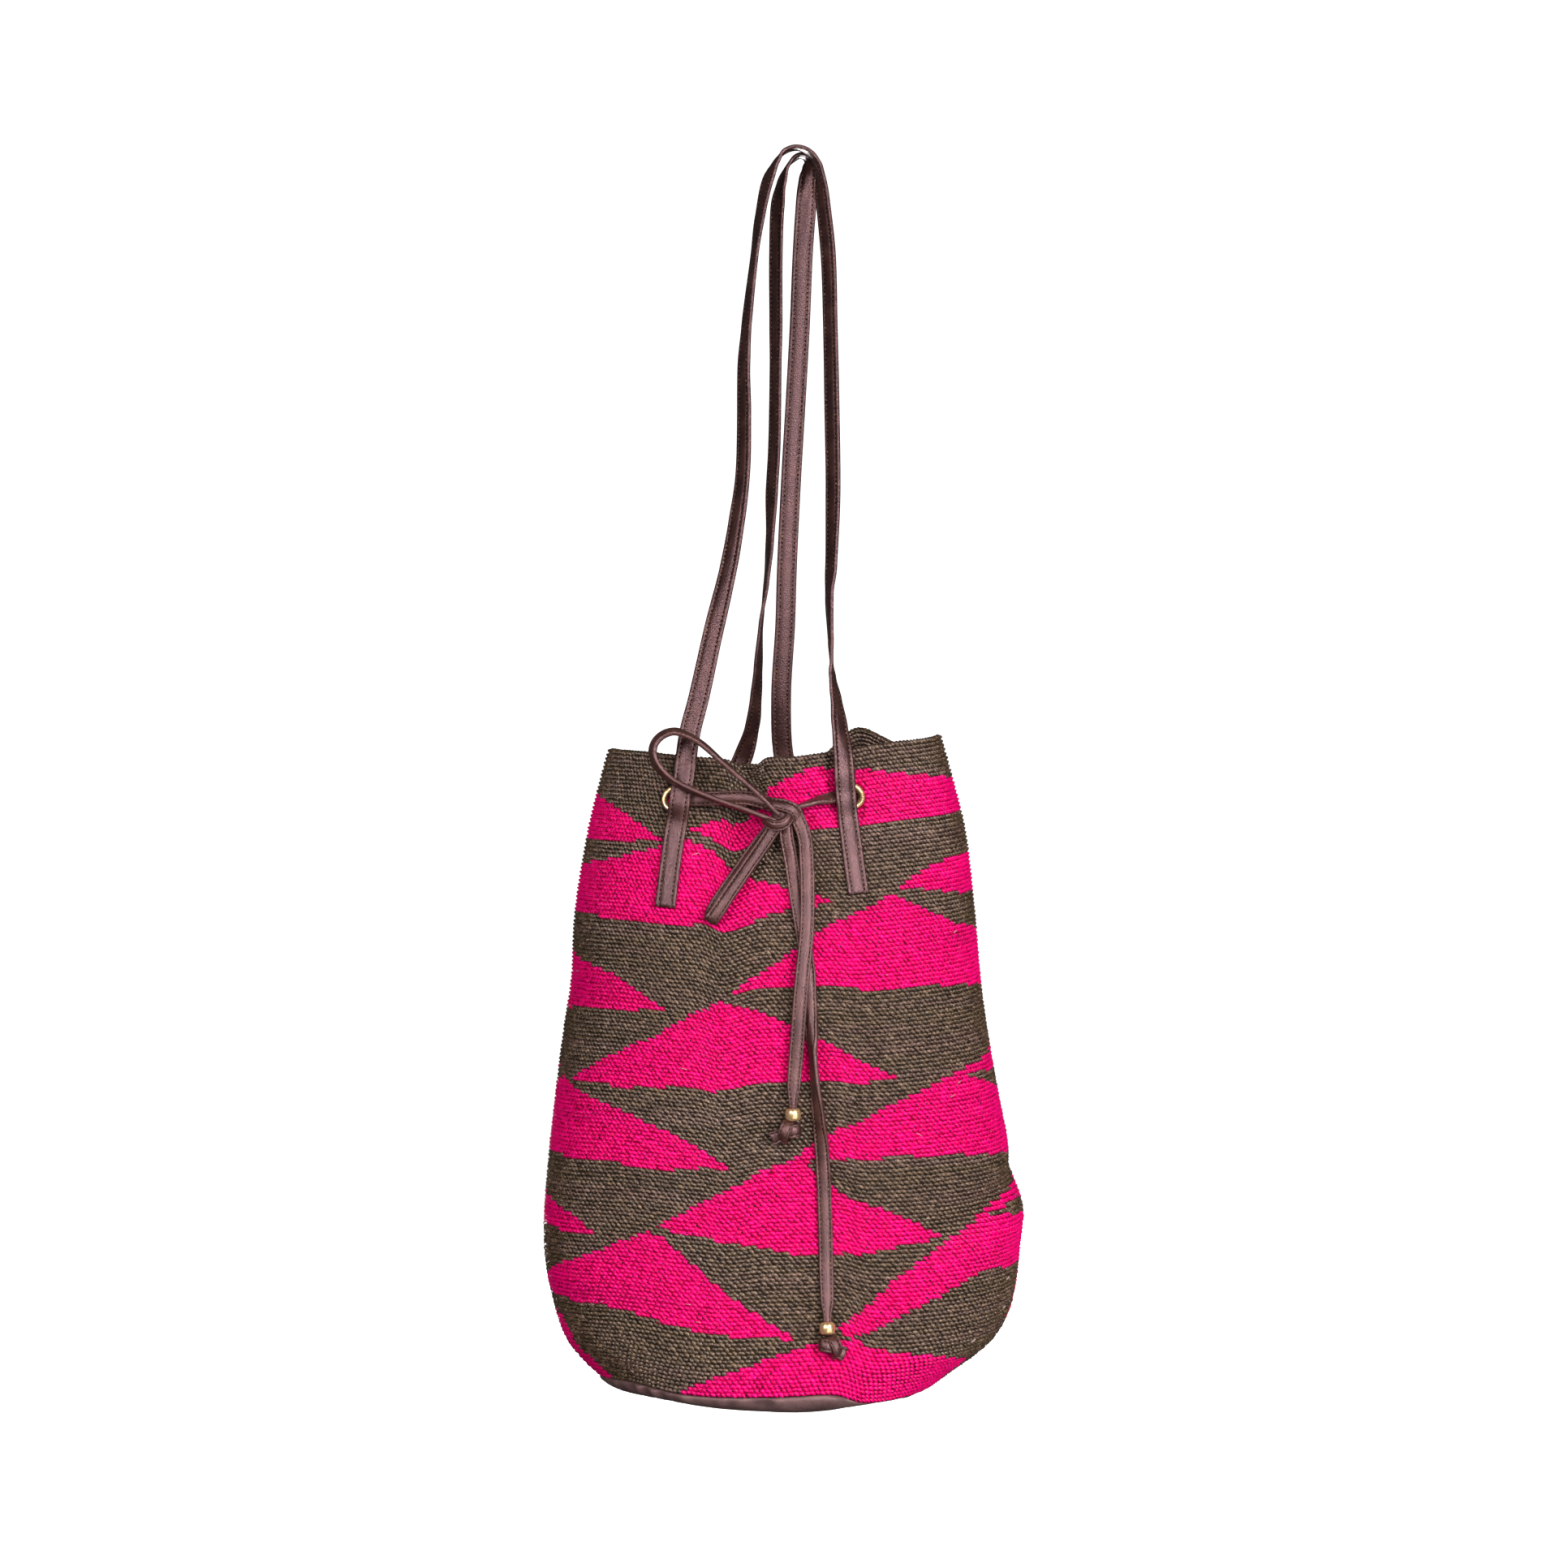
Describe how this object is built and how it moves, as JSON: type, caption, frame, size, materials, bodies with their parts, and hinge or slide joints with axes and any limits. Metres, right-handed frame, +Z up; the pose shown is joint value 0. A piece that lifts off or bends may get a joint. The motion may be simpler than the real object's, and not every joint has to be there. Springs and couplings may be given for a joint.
{
  "type": "sisal tote bag",
  "caption": "Crocheted sisal bucket tote with a leather base, leather shoulder straps and a leather drawstring tied in a bow, hanging by its straps.",
  "frame": {"origin": "middle of the peg that both straps hang on", "axes": "+Z up, -Y towards the front with the bow, +X to the viewer's right"},
  "size_m": [0.2719, 0.2099, 0.7061],
  "materials": {
    "sisal": "hot pink and dark olive brown crochet, matt, with a hard fibre sheen",
    "base_leather": "dark brown, fine grain, satin",
    "strap_leather": "dark brown, fine grain, satin, stitched along both edges",
    "string_leather": "dark brown, fine grain, satin, stitched along both edges",
    "gold": "pale gold plate, polished"
  },
  "bodies": {
    "root": {"bag_body": "sisal", "base": "base_leather", "strap_front": "strap_leather", "strap_back": "strap_leather", "eyelet_front_left": "gold", "eyelet_front_right": "gold", "eyelet_back_left": "gold", "eyelet_back_right": "gold", "drawstring": "string_leather", "bow_knot": "string_leather", "bow_loop_upper": "string_leather", "bow_loop_lower": "string_leather", "tail_short": "string_leather", "tail_long": "string_leather", "bead_short": "gold", "bead_long": "gold", "end_knot_short": "string_leather", "end_knot_long": "string_leather"}
  },
  "joints": []
}
